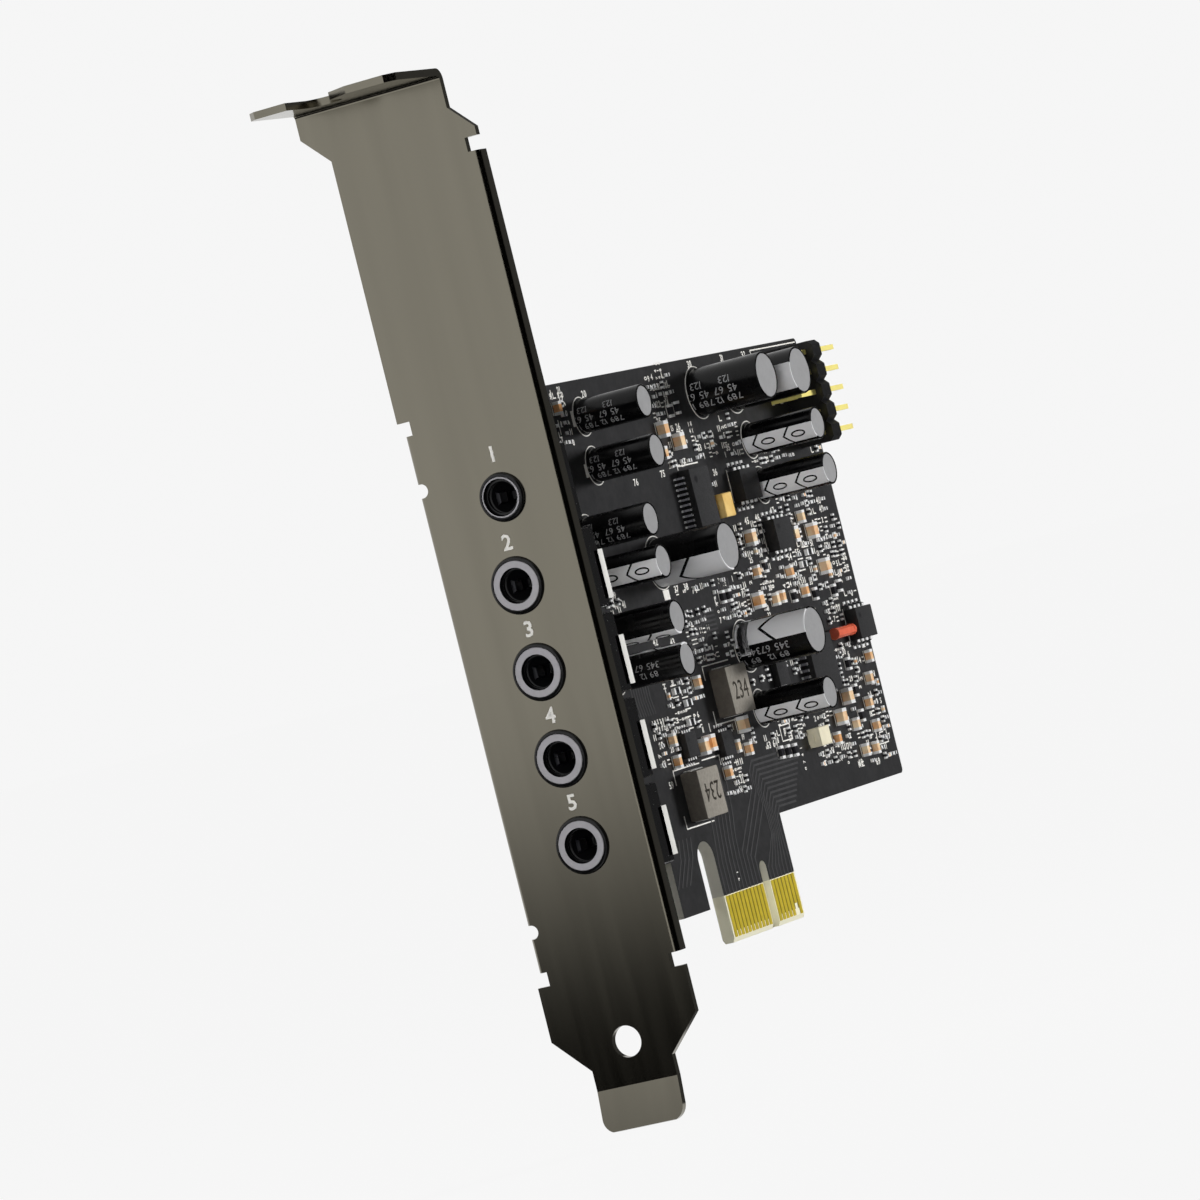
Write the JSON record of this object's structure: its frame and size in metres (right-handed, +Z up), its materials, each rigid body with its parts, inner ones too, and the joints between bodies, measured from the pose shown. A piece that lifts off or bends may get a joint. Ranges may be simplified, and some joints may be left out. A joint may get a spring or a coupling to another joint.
{
  "type": "sound card",
  "caption": "Internal computer sound card: an upright circuit board with an edge connector, on a slotted steel bracket with round audio sockets.",
  "frame": {"origin": "axis of the case screw's notch, on the underside of the bracket's folded tab", "axes": "+Z up along the bracket from its tongue to its tab, +X from the bracket's outer face into the computer, +Y from the component side of the board to its solder side"},
  "size_m": [0.1162, 0.0216, 0.1201],
  "materials": {
    "bracket_steel": "satin plated",
    "board_laminate": "satin mask",
    "gold": "satin",
    "socket_plastic": "satin",
    "ring_plastic": "gloss",
    "carrier_plastic": "satin",
    "tinned_metal": "bright",
    "can_aluminium": "satin",
    "sleeve_film": "gloss",
    "coil_body": "matt",
    "header_plastic": "satin",
    "chip_resin": "matt",
    "ceramic": "satin",
    "resistor_body": "gloss",
    "tantalum_resin": "satin",
    "crystal_case": "satin",
    "red_glass": "gloss",
    "screw_steel": "bright"
  },
  "bodies": {
    "root": {"amplifier_chips": "chip_resin", "bracket": "bracket_steel", "bracket_screw": "screw_steel", "capacitor_01_can": "can_aluminium", "capacitor_01_sleeve": "sleeve_film", "capacitor_02_can": "can_aluminium", "capacitor_02_sleeve": "sleeve_film", "capacitor_03_can": "can_aluminium", "capacitor_03_sleeve": "sleeve_film", "capacitor_04_can": "can_aluminium", "capacitor_04_sleeve": "sleeve_film", "capacitor_05_can": "can_aluminium", "capacitor_05_sleeve": "sleeve_film", "capacitor_06_can": "can_aluminium", "capacitor_06_sleeve": "sleeve_film", "capacitor_07_can": "can_aluminium", "capacitor_07_sleeve": "sleeve_film", "capacitor_08_can": "can_aluminium", "capacitor_08_sleeve": "sleeve_film", "capacitor_09_can": "can_aluminium", "capacitor_09_sleeve": "sleeve_film", "capacitor_10_can": "can_aluminium", "capacitor_10_sleeve": "sleeve_film", "capacitor_11_can": "can_aluminium", "capacitor_11_sleeve": "sleeve_film", "capacitor_12_can": "can_aluminium", "capacitor_12_sleeve": "sleeve_film", "capacitor_13_can": "can_aluminium", "capacitor_13_sleeve": "sleeve_film", "ceramic_capacitors": "ceramic", "circuit_board": "board_laminate", "coil_1": "coil_body", "coil_2": "coil_body", "controller_chip": "chip_resin", "converter_chip": "chip_resin", "crystal": "crystal_case", "edge_contacts_component_side": "gold", "edge_contacts_solder_side": "gold", "header_block": "header_plastic", "header_pins": "gold", "red_diode": "red_glass", "regulator_chips": "chip_resin", "resistors": "resistor_body", "small_ceramic_capacitors": "ceramic", "socket_1_housing": "socket_plastic", "socket_1_ring": "ring_plastic", "socket_2_housing": "socket_plastic", "socket_2_ring": "ring_plastic", "socket_2_spring_carrier": "carrier_plastic", "socket_3_housing": "socket_plastic", "socket_3_ring": "ring_plastic", "socket_3_spring_carrier": "carrier_plastic", "socket_4_housing": "socket_plastic", "socket_4_ring": "ring_plastic", "socket_4_spring_carrier": "carrier_plastic", "socket_5_housing": "socket_plastic", "socket_5_ring": "ring_plastic", "socket_5_spring_carrier": "carrier_plastic", "socket_terminals": "tinned_metal", "tantalum_capacitor": "tantalum_resin"}
  },
  "joints": []
}
